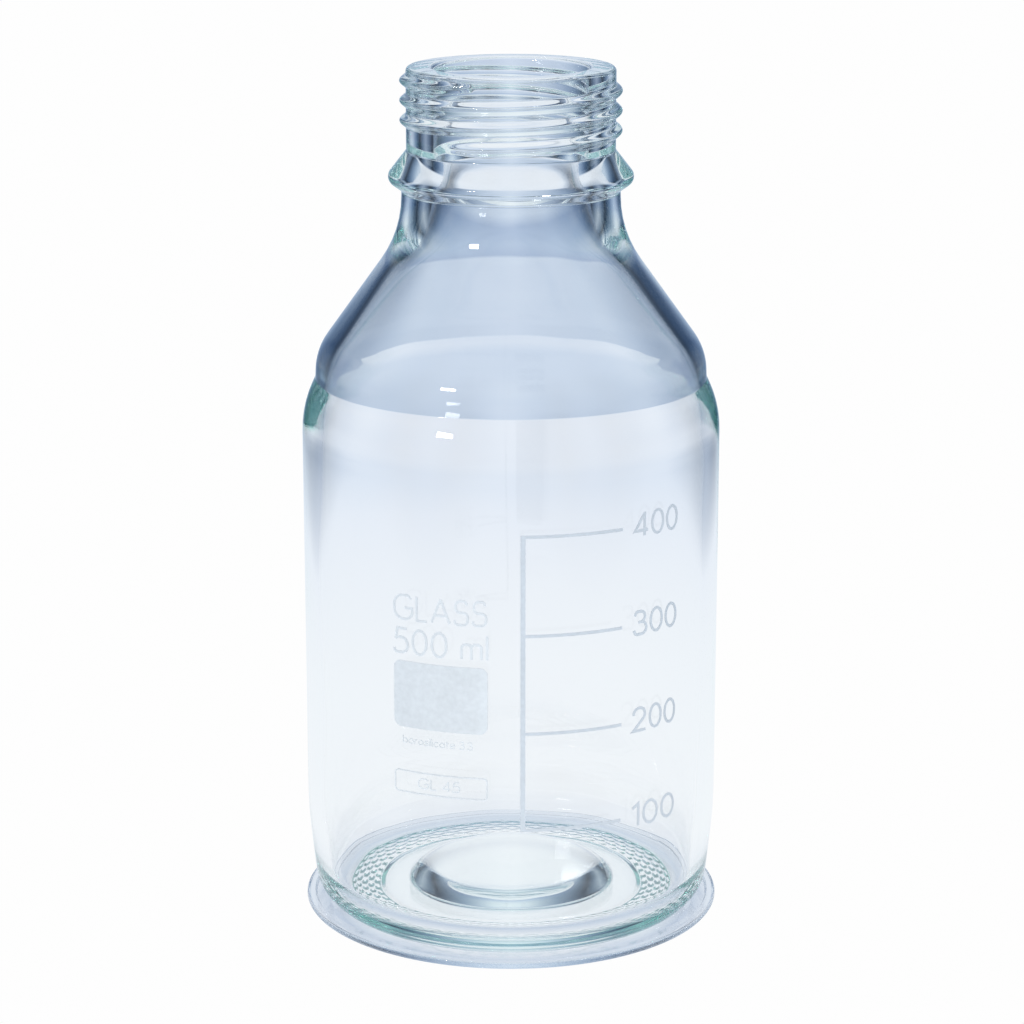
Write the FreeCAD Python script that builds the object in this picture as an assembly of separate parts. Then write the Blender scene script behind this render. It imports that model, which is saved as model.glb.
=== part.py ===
"""A 500 ml laboratory reagent bottle of clear glass with a GL 45 screw neck and fired enamel marks,
standing on a shallow clear dish. Millimetres, +Z up, the enamel scale faces -Y, and the origin is the
centre of the dish's underside."""

import FreeCAD, Part
import math
import os

Vector = FreeCAD.Vector
Z_AXIS = Vector(0, 0, 1)

# Dish
DISH_R = 43.6  # outer radius
DISH_FLOOR = 0.7  # floor thickness, which is how high the bottle stands
DISH_RIM_H = 1.5
DISH_BEAD_W = 1.8  # width of the raised bead round the edge
DISH_STEP_W = 0.35  # steep side of the bead
DISH_STEP_H = 0.95
DISH_COVE_W = 2.9  # slope from the bead down to the floor

# Bottle. Heights are above the bottle's own foot.
BODY_R = 43.0
BOTTLE_H = 176.0
WALL = 3.35  # 100 ml is then 20.2 mm of height
FOOT_INNER_R = 27.8  # inner edge of the flat foot ring
FOOT_RECESS = 0.4  # how far the base lies above the foot ring inside it
HEEL_R = 7.0
HEEL_LEAN_DEG = 6.0  # lean of the wall just above the heel
LEAN_TOP = 20.0  # where the leaning wall meets the straight one
FLOOR_Z = 3.8  # inner floor round its low dome
FLOOR_DOME_Z = 7.1
FLOOR_DOME_R = 21.4
FLOOR_SHELF_Z = 6.5  # where the dome's steep edge turns into its nearly flat top
FLOOR_SHELF_R = 19.0
FLOOR_CROWN_R = 4.0
FLOOR_CORNER_R = 6.0
CREASE_R = 40.2  # ring where the body's rounded edge meets the shoulder
CREASE_Z = 112.5
BODY_EDGE_Z = 106.5
SHOULDER_R = 39.95
SHOULDER_Z = 118.0
CONE_SLOPE = 0.72  # loss of radius per millimetre of height
LOWER_NECK_R = 22.25
CONE_TOP_Z = SHOULDER_Z + (SHOULDER_R - LOWER_NECK_R) / CONE_SLOPE
COLLAR_FOOT_Z = 151.2
COLLAR_TIP_R = 25.6  # the collar's tip before it is rounded
COLLAR_TIP_Z = 153.55
COLLAR_TOP_Z = 159.2
NECK_R = 21.2  # thread root
BORE_R = 15.75
CONE_WALL = 3.2

# Screw thread, right-handed
THREAD_CREST_R = 22.5
THREAD_PITCH = 4.0
THREAD_BASE_W = 2.8  # axial width of the ridge at the neck
THREAD_START_Z = 161.8
THREAD_START_DEG = -38.0  # from the front, positive towards +X
THREAD_TURNS = 3.05
THREAD_FADE_DEG = 24.0  # run-out at each end
THREAD_SINK = 0.5  # how deep the ridge is rooted in the neck

# Enamel marks. Positions are arc lengths on the body from the front, positive towards +X.
ENAMEL_T = 0.08
TICK_100_Z = 29.0
TICK_STEP = 20.2
TICK_W = 0.65
SPINE_X = 1.85
SPINE_W = 1.0
TICK_END_X = 23.1
NUMERAL_X = 25.7
NUMERAL_H = 5.3
NUMERAL_W = 12.2
NUMERAL_RISE = 0.35  # how far a numeral's middle stands above its tick
PANEL_X = -24.6
PANEL_W = 20.0
PANEL_Z = 49.0
PANEL_H = 13.8
PANEL_CORNER = 1.6
FRAME_Z = 35.2
FRAME_H = 4.7
FRAME_LINE = 0.28
FRAME_CORNER = 0.9
WORD = ("GLASS", -24.6, 20.0, 71.2, 5.4, 0.5)  # text, x, width, z, height, stroke
CAPACITY = ("500 ml", -24.6, 20.2, 64.2, 5.5, 0.55)
MATERIAL = ("borosilicate 3.3", -22.6, 15.0, 45.6, 1.7, 0.17)
CODE = ("GL 45", -19.2, 9.0, 36.4, 2.3, 0.25)
NUMERAL_STROKE = 0.6

# Letter strokes in a box one unit high: a stroke is a list of (x, y, corner radius), and an oval is
# (centre x, centre y, half width, half height).
X_H = 0.62
GLYPHS = {
    "0": [(0.29, 0.5, 0.29, 0.5)],
    "1": [[(0.0, 0.80, 0), (0.24, 1.0, 0), (0.24, 0, 0)]],
    "2": [
        [
            (0.02, 0.70, 0),
            (0.02, 1, 0.26),
            (0.56, 1, 0.26),
            (0.56, 0.6, 0.25),
            (0, 0, 0),
            (0.6, 0, 0),
        ]
    ],
    "3": [
        [(0.03, 0.82, 0), (0.09, 1, 0.13), (0.51, 1, 0.23), (0.51, 0.53, 0.23), (0.2, 0.53, 0)],
        [(0.2, 0.53, 0), (0.58, 0.53, 0.26), (0.58, 0, 0.26), (0, 0, 0.18), (0, 0.2, 0)],
    ],
    "4": [
        [(0.46, 0, 0), (0.46, 1.02, 0)],
        [(0.46, 1, 0), (0, 0.24, 0), (0.62, 0.24, 0)],
    ],
    "5": [
        [(0.54, 1, 0), (0.13, 1, 0), (0.05, 0.56, 0)],
        [
            (0.05, 0.55, 0),
            (0.18, 0.63, 0.15),
            (0.58, 0.63, 0.3),
            (0.58, 0, 0.31),
            (0, 0, 0.13),
            (-0.02, 0.16, 0),
        ],
    ],
    "A": [
        [(0, 0, 0), (0.42, 1, 0)],
        [(0.42, 1, 0), (0.84, 0, 0)],
        [(0.12, 0.32, 0), (0.72, 0.32, 0)],
    ],
    "G": [
        [
            (0.84, 0.84, 0),
            (0.74, 1, 0.2),
            (0, 1, 0.45),
            (0, 0, 0.45),
            (0.9, 0, 0.37),
            (0.9, 0.47, 0),
            (0.52, 0.47, 0),
        ]
    ],
    "L": [[(0, 1, 0), (0, 0, 0), (0.48, 0, 0)]],
    "S": [
        [
            (0.53, 0.84, 0),
            (0.5, 1, 0.13),
            (0.04, 1, 0.23),
            (0.04, 0.53, 0.2),
            (0.58, 0.5, 0.2),
            (0.58, 0, 0.24),
            (0, 0, 0.16),
            (0, 0.19, 0),
        ]
    ],
    "a": [(0.29, 0.31, 0.29, 0.31), [(0.58, 0, 0), (0.58, X_H, 0)]],
    "b": [(0.29, 0.31, 0.29, 0.31), [(0, 0, 0), (0, 1, 0)]],
    "c": [
        [
            (0.5, 0.52, 0),
            (0.44, X_H, 0.08),
            (0, X_H, 0.29),
            (0, 0, 0.29),
            (0.44, 0, 0.08),
            (0.5, 0.1, 0),
        ]
    ],
    "e": [
        [(0, 0.32, 0), (0.58, 0.32, 0)],
        [
            (0.58, 0.3, 0),
            (0.58, X_H, 0.28),
            (0, X_H, 0.28),
            (0, 0, 0.28),
            (0.5, 0, 0.08),
            (0.56, 0.1, 0),
        ],
    ],
    "i": [[(0, 0, 0), (0, X_H, 0)], [(0, 0.8, 0), (0, 0.95, 0)]],
    "l": [[(0, 0, 0), (0, 1, 0)]],
    "m": [
        [(0, 0, 0), (0, X_H, 0.17), (0.38, X_H, 0.17), (0.38, 0, 0)],
        [(0.38, 0.3, 0), (0.38, X_H, 0.17), (0.76, X_H, 0.17), (0.76, 0, 0)],
    ],
    "o": [(0.3, 0.31, 0.3, 0.31)],
    "r": [[(0, 0, 0), (0, X_H, 0.2), (0.3, X_H, 0)]],
    "s": [
        [
            (0.36, 0.52, 0),
            (0.34, X_H, 0.08),
            (0.02, X_H, 0.14),
            (0.02, 0.33, 0.12),
            (0.38, 0.31, 0.12),
            (0.38, 0, 0.14),
            (0, 0, 0.08),
            (0, 0.12, 0),
        ]
    ],
    "t": [[(0.14, 0, 0), (0.14, 0.9, 0)], [(-0.02, X_H, 0), (0.34, X_H, 0)]],
    ".": [[(0, -0.04, 0), (0, 0.08, 0)]],
}
LETTER_GAP = 0.22
SPACE_W = 0.16


def unit(a, b):
    """Direction from a to b in the XZ plane."""
    step = b - a
    return step.normalize()


def rounded_edges(corners, closed=False):
    """Lines and tangent arcs through (x, z, radius) corners in the XZ plane."""
    points = [Vector(x, 0, z) for x, z, _ in corners]
    count = len(points)
    ends = []
    arcs = []
    for i, point in enumerate(points):
        radius = corners[i][2]
        if not radius or (not closed and i in (0, count - 1)):
            ends.append((point, point))
            arcs.append(None)
            continue
        back = unit(point, points[i - 1])
        on = unit(point, points[(i + 1) % count])
        half = back.getAngle(on) / 2
        reach = radius / math.tan(half)
        first = point + back * reach
        last = point + on * reach
        middle = point + (back + on).normalize() * (radius / math.sin(half) - radius)
        ends.append((first, last))
        arcs.append(Part.Arc(first, middle, last).toShape())
    edges = []
    for i in range(count):
        if arcs[i]:
            edges.append(arcs[i])
        if closed or i < count - 1:
            start = ends[i][1]
            end = ends[(i + 1) % count][0]
            if start.distanceToPoint(end) > 1e-6:
                edges.append(Part.makeLine(start, end))
    return edges


def rounded_face(corners):
    return Part.Face(Part.Wire(rounded_edges(corners, closed=True)))


def turned(corners):
    """The closed outline turned round the Z axis."""
    return rounded_face(corners).revolve(Vector(0, 0, 0), Z_AXIS, 360)


def raised(shape, height):
    moved = shape.copy()
    moved.translate(Vector(0, 0, height))
    return moved


def dish():
    bead_in = DISH_R - DISH_BEAD_W
    return turned(
        [
            (0, 0, 0),
            (DISH_R, 0, 0.9),
            (DISH_R, DISH_RIM_H, 0.5),
            (bead_in, DISH_RIM_H, 0.35),
            (bead_in - DISH_STEP_W, DISH_STEP_H, 0.25),
            (bead_in - DISH_COVE_W, DISH_FLOOR, 3.0),
            (0, DISH_FLOOR, 0),
        ]
    )


def bottle_outline():
    """The wall's half section, from the underside out and up to the lip and back down inside."""
    lean = math.tan(math.radians(HEEL_LEAN_DEG))
    inner_r = BODY_R - WALL
    floor_edge_r = inner_r - (LEAN_TOP - FLOOR_Z) * lean
    cone_run = CONE_WALL * math.sqrt(1 + CONE_SLOPE**2)
    inner_shoulder_r = SHOULDER_R - 3.2
    inner_shoulder_z = SHOULDER_Z + (SHOULDER_R - cone_run - inner_shoulder_r) / CONE_SLOPE
    inner_neck_z = inner_shoulder_z + (inner_shoulder_r - BORE_R) / CONE_SLOPE
    outside = [
        (0, FOOT_RECESS, 0),
        (FOOT_INNER_R - 1, FOOT_RECESS, 0.8),
        (FOOT_INNER_R, 0, 0.8),
        (BODY_R - LEAN_TOP * lean, 0, HEEL_R),
        (BODY_R, LEAN_TOP, 75),
        (BODY_R, BODY_EDGE_Z, 22),
        (CREASE_R, CREASE_Z, 0.8),
        (SHOULDER_R, SHOULDER_Z, 12),
        (LOWER_NECK_R, CONE_TOP_Z, 23),
        (LOWER_NECK_R, COLLAR_FOOT_Z, 1.0),
        (COLLAR_TIP_R, COLLAR_TIP_Z, 1.6),
        (NECK_R, COLLAR_TOP_Z, 0.8),
        (NECK_R, BOTTLE_H, 0.9),
    ]
    inside = [
        (BORE_R, BOTTLE_H, 1.0),
        (BORE_R, inner_neck_z, 20),
        (inner_shoulder_r, inner_shoulder_z, 12),
        (inner_r, BODY_EDGE_Z - 0.5, 24),
        (inner_r, LEAN_TOP, 72),
        (floor_edge_r, FLOOR_Z, FLOOR_CORNER_R),
        (FLOOR_DOME_R, FLOOR_Z, 1.5),
        (FLOOR_SHELF_R, FLOOR_SHELF_Z, 6),
        (FLOOR_CROWN_R, FLOOR_DOME_Z, 60),
        (0, FLOOR_DOME_Z, 0),
    ]
    return outside + inside


def ridge_section(radius):
    """The thread's rounded section, rooted in a neck of this radius, in the XZ plane."""
    half = THREAD_BASE_W / 2
    crest = THREAD_CREST_R - NECK_R
    return Part.Wire(
        rounded_edges(
            [
                (radius - THREAD_SINK, -half - 0.2, 0),
                (radius + crest * 0.08, -half, 0.6),
                (radius + crest, -half * 0.62, 0.75),
                (radius + crest, half * 0.62, 0.75),
                (radius + crest * 0.08, half, 0.6),
                (radius - THREAD_SINK, half + 0.2, 0),
            ],
            closed=True,
        )
    )


def thread_run(degrees, radius, growth):
    """A stretch of ridge that starts on +X at height 0, whose radius grows by growth over its length."""
    height = THREAD_PITCH * degrees / 360
    cone = math.degrees(math.atan2(growth, height))
    path = Part.makeHelix(THREAD_PITCH, height, radius, cone)
    return Part.Wire(path.Edges).makePipeShell([ridge_section(radius)], True, True)


def thread():
    """The screw thread: a full run, with a stretch at each end that sinks into the neck."""
    sink = THREAD_CREST_R - NECK_R + 0.15
    fade_h = THREAD_PITCH * THREAD_FADE_DEG / 360
    full_deg = THREAD_TURNS * 360 - 2 * THREAD_FADE_DEG
    start = THREAD_START_DEG - 90
    last_deg = THREAD_FADE_DEG + full_deg
    runs = [
        (THREAD_FADE_DEG, NECK_R - sink, sink, 0, 0),
        (full_deg, NECK_R, 0, THREAD_FADE_DEG, fade_h),
        (THREAD_FADE_DEG, NECK_R, -sink, last_deg, THREAD_PITCH * last_deg / 360),
    ]
    pieces = []
    for degrees, radius, growth, turn, rise in runs:
        piece = thread_run(degrees, radius, growth)
        piece.rotate(Vector(0, 0, 0), Z_AXIS, start + turn)
        piece.translate(Vector(0, 0, THREAD_START_Z + rise))
        pieces.append(piece)
    return pieces


def bottle():
    glass = turned(bottle_outline())
    for piece in thread():
        glass = glass.fuse(piece)
    bore = Part.makeCylinder(BORE_R, 30, Vector(0, 0, BOTTLE_H - 25))
    glass = glass.cut(bore).removeSplitter()
    return raised(glass, DISH_FLOOR)


def offset_corners(path, shift, closed):
    """The path's corners moved sideways by shift, to its left when positive."""
    count = len(path)
    points = [Vector(x, 0, z) for x, z, _ in path]
    moved = []
    for i, point in enumerate(points):
        first = closed or i > 0
        last = closed or i < count - 1
        come = unit(points[i - 1], point) if first else None
        go = unit(point, points[(i + 1) % count]) if last else None
        come = come or go
        go = go or come
        left_in = Vector(-come.z, 0, come.x)
        left_out = Vector(-go.z, 0, go.x)
        middle = (left_in + left_out).normalize()
        spot = point + middle * (shift / middle.dot(left_in))
        turns_left = come.x * go.z - come.z * go.x > 0
        radius = path[i][2]
        if radius:
            radius = max(radius - shift if turns_left else radius + shift, 0.01)
        moved.append((spot.x, spot.z, radius))
    return moved


def stroke_face(path, width):
    """An open path drawn with a flat-ended pen."""
    left = offset_corners(path, width / 2, False)
    right = offset_corners(path, -width / 2, False)
    return rounded_face(left + right[::-1])


def oval_wire(x, z, half_w, half_h):
    long_way, short_way = max(half_w, half_h), min(half_w, half_h)
    oval = Part.Ellipse(Vector(0, 0, 0), long_way, short_way).toShape()
    wire = Part.Wire([oval])
    wire.rotate(Vector(0, 0, 0), Vector(1, 0, 0), 90)
    if half_h > half_w:
        wire.rotate(Vector(0, 0, 0), Vector(0, 1, 0), 90)
    wire.translate(Vector(x, 0, z))
    return wire


def oval_face(x, z, half_w, half_h, width):
    """A ring drawn with a pen of this width, whose middle line is the oval."""
    grow = width / 2
    outer = Part.Face(oval_wire(x, z, half_w + grow, half_h + grow))
    inner = Part.Face(oval_wire(x, z, half_w - grow, half_h - grow))
    return outer.cut(inner)


def on_wall(faces, middle_x):
    """Enamel of the given flat shapes, drawn about x = 0, laid on the body at arc length middle_x."""
    depth = 6.0
    prisms = []
    for face in faces:
        flat = face.copy()
        flat.translate(Vector(0, -BODY_R - 1, 0))
        prisms += flat.extrude(Vector(0, depth, 0)).Solids
    pen = prisms[0]
    if len(prisms) > 1:
        pen = pen.multiFuse(prisms[1:])
    box = pen.BoundBox
    skin = Part.makeCylinder(BODY_R + ENAMEL_T, box.ZLength + 2, Vector(0, 0, box.ZMin - 1))
    skin = skin.cut(Part.makeCylinder(BODY_R, box.ZLength + 2, Vector(0, 0, box.ZMin - 1)))
    mark = skin.common(pen).removeSplitter()
    mark.rotate(Vector(0, 0, 0), Z_AXIS, math.degrees(middle_x / BODY_R))
    return raised(mark, DISH_FLOOR)


def glyph_width(letter):
    if letter == " ":
        return SPACE_W
    reach = [s[0] + s[2] if isinstance(s, tuple) else max(p[0] for p in s) for s in GLYPHS[letter]]
    return max(reach)


def glyph_faces(letter, scale_x, scale_z, pen, base_z):
    """The letter's strokes with its middle at x = 0 and its foot at base_z."""
    middle = glyph_width(letter) / 2
    faces = []
    for stroke in GLYPHS[letter]:
        if isinstance(stroke, tuple):
            x, z, half_w, half_h = stroke
            spot = ((x - middle) * scale_x, base_z + z * scale_z)
            faces.append(oval_face(*spot, half_w * scale_x, half_h * scale_z, pen))
        else:
            turn = min(scale_x, scale_z)
            path = [((x - middle) * scale_x, base_z + z * scale_z, r * turn) for x, z, r in stroke]
            faces.append(stroke_face(path, pen))
    return faces


def lettering(text, start_x, width, foot_z, height, pen):
    """Enamel letters that fill the width from start_x, one solid for each separate stroke group."""
    units = sum(glyph_width(c) for c in text) + LETTER_GAP * (len(text) - 1)
    scale_z = height - pen
    scale_x = (width - pen) / units
    marks = []
    x = start_x + pen / 2
    for letter in text:
        wide = glyph_width(letter) * scale_x
        if letter != " ":
            faces = glyph_faces(letter, scale_x, scale_z, pen, foot_z + pen / 2)
            marks += on_wall(faces, x + wide / 2).Solids
        x += wide + LETTER_GAP * scale_x
    return Part.makeCompound(marks)


def bar(start_x, end_x, low_z, high_z):
    """A rectangle of enamel between two arc lengths and two heights."""
    section = [
        (BODY_R, low_z, 0),
        (BODY_R + ENAMEL_T, low_z, 0),
        (BODY_R + ENAMEL_T, high_z, 0),
        (BODY_R, high_z, 0),
    ]
    first = math.degrees(start_x / BODY_R)
    last = math.degrees(end_x / BODY_R)
    solid = rounded_face(section).revolve(Vector(0, 0, 0), Z_AXIS, last - first)
    solid.rotate(Vector(0, 0, 0), Z_AXIS, first - 90)
    return raised(solid, DISH_FLOOR)


def plate(width, low_z, height, corner):
    """A rounded rectangle about x = 0, as wide as width once it is laid on the body."""
    half = BODY_R * math.sin(width / 2 / BODY_R)
    return rounded_face(
        [
            (-half, low_z, corner),
            (half, low_z, corner),
            (half, low_z + height, corner),
            (-half, low_z + height, corner),
        ]
    )


def code_frame():
    outer = plate(PANEL_W, FRAME_Z, FRAME_H, FRAME_CORNER)
    inner_w = PANEL_W - 2 * FRAME_LINE
    inner_h = FRAME_H - 2 * FRAME_LINE
    inner = plate(inner_w, FRAME_Z + FRAME_LINE, inner_h, FRAME_CORNER - FRAME_LINE)
    return on_wall([outer.cut(inner)], PANEL_X + PANEL_W / 2)


def scale_marks():
    """The spine with its tick and numeral at each 100 ml."""
    marks = {}
    top = TICK_100_Z + 3 * TICK_STEP + TICK_W / 2
    marks["scale_spine"] = bar(SPINE_X, SPINE_X + SPINE_W, TICK_100_Z - TICK_W / 2, top)
    for i in range(4):
        volume = 100 * (i + 1)
        z = TICK_100_Z + i * TICK_STEP
        tick = bar(SPINE_X + SPINE_W, TICK_END_X, z - TICK_W / 2, z + TICK_W / 2)
        marks[f"scale_tick_{volume}"] = tick
        foot = z + NUMERAL_RISE - NUMERAL_H / 2
        size = (NUMERAL_X, NUMERAL_W, foot, NUMERAL_H, NUMERAL_STROKE)
        marks[f"scale_numeral_{volume}"] = lettering(str(volume), *size)
    return marks


def nodes():
    made = {"base_dish": dish(), "glass_bottle": bottle()}
    made.update(scale_marks())
    panel = plate(PANEL_W, PANEL_Z, PANEL_H, PANEL_CORNER)
    made["writing_panel"] = on_wall([panel], PANEL_X + PANEL_W / 2)
    made["glass_word"] = lettering(*WORD)
    made["capacity_mark"] = lettering(*CAPACITY)
    made["material_line"] = lettering(*MATERIAL)
    made["neck_code_frame"] = code_frame()
    made["neck_code_text"] = lettering(*CODE)
    return made


def main():
    os.makedirs("parts", exist_ok=True)
    for name, shape in nodes().items():
        if not shape.isValid():
            print("not valid:", name)
        print(f"{name}: {len(shape.Solids)} solids, {shape.Volume:.1f} mm3")
        shape.exportStep(f"parts/{name}.step")


main()
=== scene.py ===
import math

import bpy
import numpy as np
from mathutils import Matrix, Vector


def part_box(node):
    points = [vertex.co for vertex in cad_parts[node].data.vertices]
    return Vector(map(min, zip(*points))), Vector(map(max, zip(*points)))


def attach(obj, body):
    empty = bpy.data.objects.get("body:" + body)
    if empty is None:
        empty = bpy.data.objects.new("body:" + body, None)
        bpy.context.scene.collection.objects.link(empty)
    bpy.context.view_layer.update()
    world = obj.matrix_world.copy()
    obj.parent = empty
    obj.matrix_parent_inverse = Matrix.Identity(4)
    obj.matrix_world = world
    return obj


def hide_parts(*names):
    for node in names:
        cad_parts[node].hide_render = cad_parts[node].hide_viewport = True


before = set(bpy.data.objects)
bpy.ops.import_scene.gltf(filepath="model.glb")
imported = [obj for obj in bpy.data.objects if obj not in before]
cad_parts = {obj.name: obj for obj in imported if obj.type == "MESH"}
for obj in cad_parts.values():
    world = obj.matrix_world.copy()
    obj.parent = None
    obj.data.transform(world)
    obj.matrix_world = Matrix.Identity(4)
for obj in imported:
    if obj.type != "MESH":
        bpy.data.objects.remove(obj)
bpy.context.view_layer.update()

MM = 0.001

# The bottle's half section in millimetres, above its own foot, as in the CAD model.
BODY_R = 43.0
BOTTLE_H = 176.0
WALL = 3.35
FOOT_INNER_R = 27.8
FOOT_RECESS = 0.4
HEEL_R = 7.0
HEEL_LEAN_DEG = 6.0
LEAN_TOP = 20.0
FLOOR_Z = 3.8
FLOOR_DOME_Z = 7.1
FLOOR_SHELF_Z = 6.5
FLOOR_DOME_R = 21.4
FLOOR_SHELF_R = 19.0
FLOOR_CROWN_R = 4.0
FLOOR_CORNER_R = 6.0
CREASE_R = 40.2
CREASE_Z = 112.5
BODY_EDGE_Z = 106.5
SHOULDER_R = 39.95
SHOULDER_Z = 118.0
CONE_SLOPE = 0.72
LOWER_NECK_R = 22.25
COLLAR_FOOT_Z = 151.2
COLLAR_TIP_R = 25.6
COLLAR_TIP_Z = 153.55
COLLAR_TOP_Z = 159.2
NECK_R = 21.2
BORE_R = 15.75
CONE_WALL = 3.2

THREAD_CREST_R = 22.5
THREAD_PITCH = 4.0
THREAD_HALF_W = 1.5
THREAD_START_Z = 161.8
THREAD_START_DEG = -38.0
THREAD_TURNS = 3.05
THREAD_FADE_DEG = 24.0
THREAD_LOW_Z = 159.7
THREAD_HIGH_Z = 175.1

STIPPLE_R = (27.9, 35.0)
STIPPLE_H = 0.45
STIPPLE_ROWS = 5
STIPPLE_AROUND = 52

DISH_R = 43.6
DISH_FLOOR = 0.64
DISH_RIM_H = 1.5
DISH_BEAD_W = 1.8
DISH_STEP_W = 0.35
DISH_STEP_H = 0.95
DISH_COVE_W = 2.9

# How the room looks through and in the glass, as (value, colour) stops. The value is the
# sideways turn from the nearest backdrop (0 to 0.707) for BACKDROP, metres from the middle of
# the table for TABLE, and the upward part of the direction (0 to 1) for ROOM and CEILING.
BACKDROP_STOPS = [
    (0.00, (0.62, 0.71, 0.85)),
    (0.09, (0.54, 0.64, 0.79)),
    (0.18, (0.36, 0.46, 0.62)),
    (0.29, (0.16, 0.24, 0.38)),
    (0.40, (0.045, 0.085, 0.16)),
    (0.50, (0.008, 0.016, 0.035)),
    (0.60, (0.10, 0.15, 0.24)),
    (0.70, (0.26, 0.33, 0.45)),
]
# The stops from 0.0345 to 0.0460 m paint a contact shadow: a darker blue ring on the table under the
# bottle's heel and the dish's rim, seen only through the glass.
TABLE_AND_SHADOW_STOPS = [
    (0.0345, (0.90, 0.93, 0.965)),
    (0.0365, (0.42, 0.52, 0.66)),
    (0.0400, (0.60, 0.68, 0.80)),
    (0.0460, (0.84, 0.88, 0.94)),
    (0.070, (0.90, 0.93, 0.965)),
    (0.170, (0.88, 0.915, 0.96)),
    (0.240, (0.85, 0.89, 0.95)),
    (0.320, (0.81, 0.86, 0.945)),
    (0.370, (0.74, 0.81, 0.92)),
    (0.440, (0.62, 0.715, 0.86)),
    (0.800, (0.66, 0.75, 0.88)),
]
TABLE_FADE = [(0.45, (0, 0, 0)), (0.75, (1, 1, 1))]
TABLE_NARROWS = 0.9  # how much nearer the fade comes off the backdrops' axes
ROOM_RISE = [
    (0.00, (1.0, 1.0, 1.0)),
    (0.04, (0.66, 0.72, 0.82)),
    (0.14, (0.80, 0.86, 0.92)),
    (0.30, (1.35, 1.28, 1.12)),
]
CEILING_SHARE = [(0.60, (0, 0, 0)), (0.85, (1, 1, 1))]
CEILING_STOPS = [(0.40, (0.55, 0.63, 0.75)), (1.0, (0.34, 0.42, 0.56))]

AROUND = 288
FINE = 2  # how many times finer the mesh is round the stippled ring
PLAIN_SPACING = 2.5
STIPPLE_SPACING = 0.22
THREAD_SPACING = 0.13
DISH_SPACING = 3.0
FOOT_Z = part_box("glass_bottle")[0].z

GLASS_IOR = 1.473
GLASS_TINT = (0.64, 0.92, 0.88)
GLASS_DENSITY = 5.5
DISH_IOR = 1.47
DISH_TINT = (0.70, 0.85, 0.98)
DISH_DENSITY = 4.0
RIPPLE = 0.02
SCALE_COLOUR = (0.755, 0.805, 0.84)
LABEL_COLOUR = (0.895, 0.93, 0.937)
ENAMEL_COVER = 0.85

WHITE = (0.99, 0.99, 0.99)
FLOOR_HALF = 6.0
FLOOR_DROP = -0.0003
LIGHT_TARGET = (0, 0, 0.11)
WINDOW_PLACE = (-0.62, -0.80, 0.55)
WINDOW_SIZE = (0.16, 0.08)
WINDOW_POWER = 2.4
FILL_PLACE = (0.35, -0.95, 0.60)
FILL_SIZE = (0.8, 0.6)
FILL_POWER = 5.5
LENS = 113.51953125  # millimetres, on a sensor 36 mm wide
CAMERA_TILT_DEG = 14.81
CAMERA_X = 0.0002
CAMERA_Y = -0.6495
CAMERA_UP = 0.2551  # above the bottle's foot
LIGHT_BOUNCES = 200  # light runs a long way inside the dish's thin floor


# ---------------------------------------------------------------- outlines


def rounded_points(corners, arc_step=6.0):
    """Points along lines and tangent arcs through (r, z, radius) corners, ends included."""
    spots = [np.array(c[:2], float) for c in corners]
    points = [spots[0]]
    for i in range(1, len(corners) - 1):
        back = spots[i - 1] - spots[i]
        on = spots[i + 1] - spots[i]
        back /= np.linalg.norm(back)
        on /= np.linalg.norm(on)
        radius = corners[i][2]
        if not radius:
            points.append(spots[i])
            continue
        half = math.acos(np.clip(back @ on, -1, 1)) / 2
        reach = radius / math.tan(half)
        middle = back + on
        centre = spots[i] + middle / np.linalg.norm(middle) * radius / math.sin(half)
        first = spots[i] + back * reach - centre
        last = spots[i] + on * reach - centre
        turn = math.pi - 2 * half
        count = max(2, math.ceil(math.degrees(turn) / arc_step))
        for k in range(count + 1):
            share = k / count
            a = math.sin((1 - share) * turn) / math.sin(turn)
            b = math.sin(share * turn) / math.sin(turn)
            points.append(centre + first * a + last * b)
    points.append(spots[-1])
    return points


def spaced(points, spacing):
    """The same line with more points, where spacing(r, z) says how far apart they may be."""
    out = [points[0]]
    for a, b in zip(points, points[1:]):
        length = np.linalg.norm(b - a)
        middle = (a + b) / 2
        count = max(1, math.ceil(length / spacing(*middle)))
        out += [a + (b - a) * (k + 1) / count for k in range(count)]
    kept = [out[0]]
    for point in out[1:]:
        if np.linalg.norm(point - kept[-1]) > 1e-4:
            kept.append(point)
    return kept


def outside_corners():
    lean = math.tan(math.radians(HEEL_LEAN_DEG))
    cone_top = SHOULDER_Z + (SHOULDER_R - LOWER_NECK_R) / CONE_SLOPE
    return [
        (0, FOOT_RECESS, 0),
        (FOOT_INNER_R - 1, FOOT_RECESS, 0.8),
        (FOOT_INNER_R, 0, 0.8),
        (BODY_R - LEAN_TOP * lean, 0, HEEL_R),
        (BODY_R, LEAN_TOP, 75),
        (BODY_R, BODY_EDGE_Z, 22),
        (CREASE_R, CREASE_Z, 0.8),
        (SHOULDER_R, SHOULDER_Z, 12),
        (LOWER_NECK_R, cone_top, 23),
        (LOWER_NECK_R, COLLAR_FOOT_Z, 1.0),
        (COLLAR_TIP_R, COLLAR_TIP_Z, 1.6),
        (NECK_R, COLLAR_TOP_Z, 0.8),
        (NECK_R, BOTTLE_H, 0.9),
        (BORE_R, BOTTLE_H, 1.0),
        (BORE_R, BOTTLE_H - 8, 0),
    ]


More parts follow.
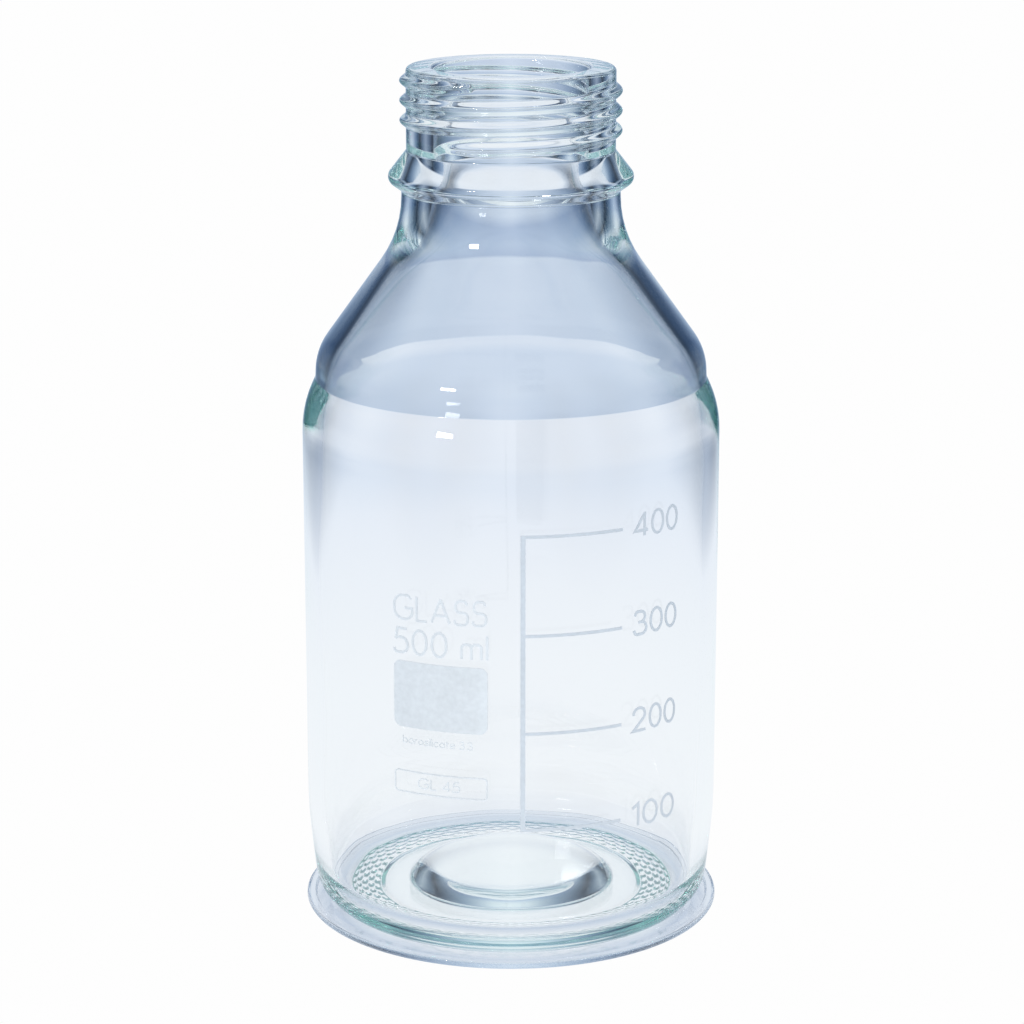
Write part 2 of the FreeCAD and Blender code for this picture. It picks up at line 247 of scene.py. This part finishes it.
def inside_corners():
    inner_r = BODY_R - WALL
    floor_edge_r = inner_r - (LEAN_TOP - FLOOR_Z) * math.tan(math.radians(HEEL_LEAN_DEG))
    cone_run = CONE_WALL * math.sqrt(1 + CONE_SLOPE**2)
    shoulder_r = SHOULDER_R - 3.2
    shoulder_z = SHOULDER_Z + (SHOULDER_R - cone_run - shoulder_r) / CONE_SLOPE
    neck_z = shoulder_z + (shoulder_r - BORE_R) / CONE_SLOPE
    return [
        (BORE_R, BOTTLE_H - 8, 0),
        (BORE_R, neck_z, 20),
        (shoulder_r, shoulder_z, 12),
        (inner_r, BODY_EDGE_Z - 0.5, 24),
        (inner_r, LEAN_TOP, 72),
        (floor_edge_r, FLOOR_Z, FLOOR_CORNER_R),
        (FLOOR_DOME_R, FLOOR_Z, 1.5),
        (FLOOR_SHELF_R, FLOOR_SHELF_Z, 6),
        (FLOOR_CROWN_R, FLOOR_DOME_Z, 60),
        (0, FLOOR_DOME_Z, 0),
    ]


# ---------------------------------------------------------------- surface detail


def smooth(x):
    """0 up to 0, 1 from 1 on, and a soft rise between."""
    x = np.clip(x, 0, 1)
    return x * x * (3 - 2 * x)


def thread_height(angle, z):
    """How far the screw thread stands out at an angle from the front and a height."""
    past = np.mod(angle - THREAD_START_DEG, 360.0)
    turns = np.round((z - THREAD_START_Z) / THREAD_PITCH - past / 360)
    along = past + 360 * turns
    fade = smooth(along / THREAD_FADE_DEG)
    fade = fade * smooth((THREAD_TURNS * 360 - along) / THREAD_FADE_DEG)
    off = z - THREAD_START_Z - THREAD_PITCH * along / 360
    across = np.clip(np.abs(off) / (THREAD_HALF_W * (0.6 + 0.4 * fade)), 0, 1)
    return (THREAD_CREST_R - NECK_R) * fade * np.cos(across * math.pi / 2) ** 1.3


def stipple_depth(angle, r):
    """How far the underside is cut back between the stippled ring's small domes."""
    inner, outer = STIPPLE_R
    step = (outer - inner) / STIPPLE_ROWS
    row = np.floor((r - inner) / step)
    across = (r - inner) / step - row - 0.5
    spot = angle / 360 * STIPPLE_AROUND + 0.5 * np.mod(row, 2)
    along = spot - np.floor(spot) - 0.5
    dome = smooth(1 - np.hypot(across, along) / 0.5)
    return STIPPLE_H * (1 - dome)


def wall_wave(angle, z):
    """Slow unevenness of the blown inner wall, in millimetres."""
    a = np.radians(angle)
    wave = 0.03 * np.sin(3 * a + 0.031 * z + 0.4)
    wave = wave + 0.03 * np.sin(7 * a - 0.052 * z + 1.9)
    wave = wave + 0.02 * np.sin(13 * a + 0.11 * z + 4.1)
    return wave + 0.02 * np.sin(0.16 * z + 2 * a)


# ---------------------------------------------------------------- meshes


def lathe(name, rings, material):
    """A closed mesh from rings of (x, y, z) points in millimetres; a ring of one point closes an end."""
    points = np.vstack(rings) * MM
    starts = np.cumsum([0] + [len(ring) for ring in rings])
    faces = []
    for i in range(len(rings) - 1):
        faces += bridge(starts[i], len(rings[i]), starts[i + 1], len(rings[i + 1]))
    mesh = bpy.data.meshes.new(name)
    mesh.from_pydata(points.tolist(), [], faces)
    mesh.update()
    mesh.shade_smooth()
    piece = bpy.data.objects.new(name, mesh)
    bpy.context.scene.collection.objects.link(piece)
    mesh.materials.append(material)
    return piece


def bridge(first, count, other, other_count):
    """Faces between two rings whose point counts are equal, or one a multiple of the other."""
    few, many = min(count, other_count), max(count, other_count)
    ratio = many // few
    faces = []
    for k in range(few):
        after = (k + 1) % few
        if count == other_count:
            faces.append((first + k, first + after, other + after, other + k))
            continue
        outer, inner = (first, other) if count == many else (other, first)
        fine = [outer + (k * ratio + j) % many for j in range(ratio + 1)]
        near = inner + k
        far = inner + after
        fan = [(near, b, a) for a, b in zip(fine, fine[1:])]
        if few > 1:
            fan.append((near, far, fine[-1]))
        if outer == first:
            fan = [face[::-1] for face in fan]
        faces += fan
    return faces


def circle(count):
    """Angles from the front, in degrees, positive towards +X."""
    return np.arange(count) * 360.0 / count


def ring(angle, r, z):
    a = np.radians(angle)
    r = np.broadcast_to(r, a.shape)
    z = np.broadcast_to(z, a.shape)
    return np.stack([r * np.sin(a), -r * np.cos(a), z], axis=1)


def bottle_rings():
    foot = FOOT_Z / MM
    rings = []

    def outside_spacing(r, z):
        if z < 1 and STIPPLE_R[0] - 0.8 < r < STIPPLE_R[1] + 0.4:
            return STIPPLE_SPACING
        if THREAD_LOW_Z < z < THREAD_HIGH_Z and r > NECK_R - 0.5:
            return THREAD_SPACING
        return PLAIN_SPACING

    for r, z in spaced(rounded_points(outside_corners()), outside_spacing):
        if r < 1e-6:
            rings.append(np.array([[0.0, 0.0, z + foot]]))
            continue
        if z < 1 and STIPPLE_R[0] < r < STIPPLE_R[1]:
            angle = circle(AROUND * FINE)
            edge = smooth((r - STIPPLE_R[0]) / 0.5) * smooth((STIPPLE_R[1] - r) / 0.5)
            rings.append(ring(angle, r, z + foot + edge * stipple_depth(angle, r)))
            continue
        angle = circle(AROUND)
        if THREAD_LOW_Z < z < THREAD_HIGH_Z and abs(r - NECK_R) < 0.5:
            rings.append(ring(angle, r + thread_height(angle, z), z + foot))
            continue
        rings.append(ring(angle, r, z + foot))
    for r, z in spaced(rounded_points(inside_corners()), lambda r, z: PLAIN_SPACING)[1:]:
        if r < 1e-6:
            rings.append(np.array([[0.0, 0.0, z + foot]]))
            continue
        angle = circle(AROUND)
        share = smooth((z - 8) / 14) * smooth((150 - z) / 14)
        rings.append(ring(angle, r + share * wall_wave(angle, z), z + foot))
    return rings


def dish_rings():
    bead_in = DISH_R - DISH_BEAD_W
    corners = [
        (0, 0, 0),
        (DISH_R, 0, 0.9),
        (DISH_R, DISH_RIM_H, 0.5),
        (bead_in, DISH_RIM_H, 0.35),
        (bead_in - DISH_STEP_W, DISH_STEP_H, 0.25),
        (bead_in - DISH_COVE_W, DISH_FLOOR, 3.0),
        (0, DISH_FLOOR, 0),
    ]
    rings = []
    for r, z in spaced(rounded_points(corners), lambda r, z: DISH_SPACING):
        if r < 1e-6:
            rings.append(np.array([[0.0, 0.0, z]]))
        else:
            rings.append(ring(circle(AROUND), r, z))
    return rings


# ---------------------------------------------------------------- materials


def new_material(name):
    material = bpy.data.materials.new(name)
    material.use_nodes = True
    tree = material.node_tree
    tree.nodes.clear()
    return material, tree


def add(tree, kind, **values):
    node = tree.nodes.new(kind)
    for key, value in values.items():
        setattr(node, key, value)
    return node


def clear_material(name, ior, absorb, density, ripple):
    """Clear glass or plastic: smooth, with a faint ripple in its surface, tinted by its depth."""
    material, tree = new_material(name)
    out = add(tree, "ShaderNodeOutputMaterial")
    surface = add(tree, "ShaderNodeBsdfPrincipled")
    surface.inputs["Base Color"].default_value = (1, 1, 1, 1)
    surface.inputs["Roughness"].default_value = 0.0
    surface.inputs["IOR"].default_value = ior
    surface.inputs["Transmission Weight"].default_value = 1.0
    noise = add(tree, "ShaderNodeTexNoise")
    noise.inputs["Scale"].default_value = 45.0
    noise.inputs["Detail"].default_value = 1.0
    coords = add(tree, "ShaderNodeTexCoord")
    tree.links.new(coords.outputs["Object"], noise.inputs["Vector"])
    bump = add(tree, "ShaderNodeBump")
    bump.inputs["Strength"].default_value = ripple
    bump.inputs["Distance"].default_value = 0.0004
    tree.links.new(noise.outputs["Fac"], bump.inputs["Height"])
    tree.links.new(bump.outputs["Normal"], surface.inputs["Normal"])
    depth = add(tree, "ShaderNodeVolumeAbsorption")
    depth.inputs["Color"].default_value = (*absorb, 1)
    depth.inputs["Density"].default_value = density
    tree.links.new(surface.outputs["BSDF"], out.inputs["Surface"])
    tree.links.new(depth.outputs["Volume"], out.inputs["Volume"])
    return material


def enamel_material(name, colour, cover):
    """Fired screen-printed enamel: matt, slightly see-through, with a fine uneven grain."""
    material, tree = new_material(name)
    out = add(tree, "ShaderNodeOutputMaterial")
    paint = add(tree, "ShaderNodeBsdfPrincipled")
    clear = add(tree, "ShaderNodeBsdfTransparent")
    mix = add(tree, "ShaderNodeMixShader")
    coords = add(tree, "ShaderNodeTexCoord")
    grain = add(tree, "ShaderNodeTexNoise")
    grain.inputs["Scale"].default_value = 900.0
    grain.inputs["Detail"].default_value = 3.0
    blotch = add(tree, "ShaderNodeTexNoise")
    blotch.inputs["Scale"].default_value = 120.0
    tint = add(tree, "ShaderNodeValToRGB")
    tint.color_ramp.elements[0].position = 0.3
    tint.color_ramp.elements[0].color = (*[c * 0.94 for c in colour], 1)
    tint.color_ramp.elements[1].position = 0.7
    tint.color_ramp.elements[1].color = (*colour, 1)
    see = add(tree, "ShaderNodeMapRange")
    see.inputs["From Min"].default_value = 0.3
    see.inputs["From Max"].default_value = 0.7
    see.inputs["To Min"].default_value = cover - 0.05
    see.inputs["To Max"].default_value = cover + 0.05
    tree.links.new(coords.outputs["Object"], grain.inputs["Vector"])
    tree.links.new(coords.outputs["Object"], blotch.inputs["Vector"])
    tree.links.new(blotch.outputs["Fac"], tint.inputs["Fac"])
    tree.links.new(grain.outputs["Fac"], see.inputs["Value"])
    tree.links.new(tint.outputs["Color"], paint.inputs["Base Color"])
    paint.inputs["Roughness"].default_value = 0.55
    tree.links.new(see.outputs["Result"], mix.inputs["Fac"])
    tree.links.new(clear.outputs["BSDF"], mix.inputs[1])
    tree.links.new(paint.outputs["BSDF"], mix.inputs[2])
    tree.links.new(mix.outputs["Shader"], out.inputs["Surface"])
    return material


# ---------------------------------------------------------------- the object


def make_bottle():
    glass = clear_material("borosilicate_glass", GLASS_IOR, GLASS_TINT, GLASS_DENSITY, RIPPLE)
    bottle = lathe("glass_bottle_body", bottle_rings(), glass)
    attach(bottle, "bottle")
    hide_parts("glass_bottle")


def make_dish():
    clear = clear_material("clear_dish", DISH_IOR, DISH_TINT, DISH_DENSITY, RIPPLE)
    dish = lathe("clear_dish_body", dish_rings(), clear)
    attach(dish, "dish")
    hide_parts("base_dish")


def paint_marks():
    scale = enamel_material("enamel_scale", SCALE_COLOUR, ENAMEL_COVER)
    label = enamel_material("enamel_label", LABEL_COLOUR, ENAMEL_COVER)
    for name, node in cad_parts.items():
        if name in ("glass_bottle", "base_dish"):
            continue
        node.data.materials.clear()
        node.data.materials.append(scale if name.startswith("scale_") else label)


# ---------------------------------------------------------------- studio


def seen_colour(tree, direct, seen_through):
    """direct for what the camera sees itself, and seen_through for what glass bends or mirrors."""
    path = add(tree, "ShaderNodeLightPath")
    mix = add(tree, "ShaderNodeMix", data_type="RGBA")
    tree.links.new(path.outputs["Is Camera Ray"], mix.inputs["Factor"])
    for socket, value in ((mix.inputs[6], seen_through), (mix.inputs[7], direct)):
        if isinstance(value, tuple):
            socket.default_value = (*value, 1)
        else:
            tree.links.new(value, socket)
    return mix.outputs[2]


def glow_material(name, direct, seen_through):
    material, tree = new_material(name)
    out = add(tree, "ShaderNodeOutputMaterial")
    glow = add(tree, "ShaderNodeEmission")
    value = seen_through(tree) if callable(seen_through) else seen_through
    tree.links.new(seen_colour(tree, direct, value), glow.inputs["Color"])
    tree.links.new(glow.outputs["Emission"], out.inputs["Surface"])
    return material


def ramp(tree, factor, stops):
    """A colour ramp over a value, from (value, colour) stops."""
    node = add(tree, "ShaderNodeValToRGB")
    elements = node.color_ramp.elements
    while len(elements) < len(stops):
        elements.new(0.5)
    for element, (position, colour) in zip(elements, stops):
        element.position = position
        element.color = (*colour, 1)
    tree.links.new(factor, node.inputs["Fac"])
    return node.outputs["Color"]


def maths(tree, operation, *values):
    node = add(tree, "ShaderNodeMath", operation=operation)
    for socket, value in zip(node.inputs, values):
        if isinstance(value, (int, float)):
            socket.default_value = value
        else:
            tree.links.new(value, socket)
    return node.outputs[0]


def blend_colours(tree, share, first, second, how="MIX"):
    node = add(tree, "ShaderNodeMix", data_type="RGBA", blend_type=how)
    sockets = (node.inputs["Factor"], node.inputs[6], node.inputs[7])
    for socket, value in zip(sockets, (share, first, second)):
        if isinstance(value, (int, float)):
            socket.default_value = value
        elif isinstance(value, tuple):
            socket.default_value = (*value, 1)
        else:
            tree.links.new(value, socket)
    return node.outputs[2]


def off_axis(tree, vector):
    """0 straight behind, in front of or beside the object, rising to 0.707 half way between."""
    split = add(tree, "ShaderNodeSeparateXYZ")
    tree.links.new(vector, split.inputs[0])
    x = maths(tree, "ABSOLUTE", split.outputs[0])
    y = maths(tree, "ABSOLUTE", split.outputs[1])
    squares = maths(tree, "ADD", maths(tree, "MULTIPLY", x, x), maths(tree, "MULTIPLY", y, y))
    reach = maths(tree, "SQRT", squares)
    return maths(tree, "DIVIDE", maths(tree, "MINIMUM", x, y), reach), reach, split.outputs[2]


def backdrop_colour(tree, turned):
    """The lit backdrops' colour, falling to dark beside them and rising a little half way between."""
    return ramp(tree, turned, BACKDROP_STOPS)


def floor_colour(tree):
    """A glowing table that stands in for a lit one: white round the object, with a painted contact shadow
    in a ring round the bottle's heel, and fading into the room further off.
    """
    place = add(tree, "ShaderNodeNewGeometry")
    turned, reach, _ = off_axis(tree, place.outputs["Position"])
    near = ramp(tree, reach, TABLE_AND_SHADOW_STOPS)
    nearer = maths(tree, "MULTIPLY_ADD", turned, TABLE_NARROWS, 1.0)
    fade = ramp(tree, maths(tree, "MULTIPLY", reach, nearer), TABLE_FADE)
    return blend_colours(tree, fade, near, backdrop_colour(tree, turned))


def room_colour(tree):
    """What the glass sees above the table: backdrops low down, and a soft ceiling."""
    where = add(tree, "ShaderNodeTexCoord")
    turned, reach, up = off_axis(tree, where.outputs["Generated"])
    low = backdrop_colour(tree, turned)
    high = ramp(tree, up, ROOM_RISE)
    shaded = blend_colours(tree, 1.0, low, high, "MULTIPLY")
    return blend_colours(tree, ramp(tree, up, CEILING_SHARE), shaded, ramp(tree, up, CEILING_STOPS))


def plane(name, corners, material):
    """A flat stage piece."""
    mesh = bpy.data.meshes.new(name)
    mesh.from_pydata(corners, [], [(0, 1, 2, 3)])
    mesh.materials.append(material)
    thing = bpy.data.objects.new(name, mesh)
    bpy.context.scene.collection.objects.link(thing)


def make_studio():
    edge = FLOOR_HALF
    corners = [(x, y, FLOOR_DROP) for x, y in ((-edge, -edge), (edge, -edge), (edge, edge), (-edge, edge))]
    # The floor glows white to the camera. Through the glass it shows the table's colour, which includes a
    # painted contact shadow ring round the heel.
    plane("floor", corners, glow_material("pale_floor", WHITE, floor_colour))
    world = bpy.data.worlds.new("studio")
    world.use_nodes = True
    tree = world.node_tree
    tree.nodes.clear()
    out = add(tree, "ShaderNodeOutputWorld")
    back = add(tree, "ShaderNodeBackground")
    tree.links.new(seen_colour(tree, WHITE, room_colour(tree)), back.inputs["Color"])
    tree.links.new(back.outputs["Background"], out.inputs["Surface"])
    bpy.context.scene.world = world


def softbox(name, place, size, power):
    light = bpy.data.lights.new(name, "AREA")
    light.shape = "RECTANGLE"
    light.size, light.size_y = size
    light.energy = power
    lamp = bpy.data.objects.new(name, light)
    lamp.location = place
    aim = Vector(LIGHT_TARGET) - Vector(place)
    lamp.rotation_euler = aim.to_track_quat("-Z", "Y").to_euler()
    bpy.context.scene.collection.objects.link(lamp)
    lamp.visible_camera = False
    return lamp


def make_lights():
    """A small window that the glass mirrors, and a soft fill that only the enamel shows."""
    softbox("window", WINDOW_PLACE, WINDOW_SIZE, WINDOW_POWER)
    fill = softbox("fill", FILL_PLACE, FILL_SIZE, FILL_POWER)
    fill.visible_glossy = False
    fill.visible_transmission = False


def make_camera():
    camera = bpy.data.cameras.new("camera")
    camera.sensor_width = 36.0
    camera.lens = LENS
    camera.clip_start = 0.05
    thing = bpy.data.objects.new("camera", camera)
    thing.location = (CAMERA_X, CAMERA_Y, CAMERA_UP + FOOT_Z)
    thing.rotation_euler = (math.radians(90 - CAMERA_TILT_DEG), 0, 0)
    bpy.context.scene.collection.objects.link(thing)
    bpy.context.scene.camera = thing


def main():
    make_bottle()
    make_dish()
    paint_marks()
    make_studio()
    make_lights()
    make_camera()
    scene = bpy.context.scene
    scene.view_settings.view_transform = "Standard"
    scene.cycles.max_bounces = LIGHT_BOUNCES
    scene.cycles.transmission_bounces = LIGHT_BOUNCES
    scene.cycles.glossy_bounces = LIGHT_BOUNCES


main()
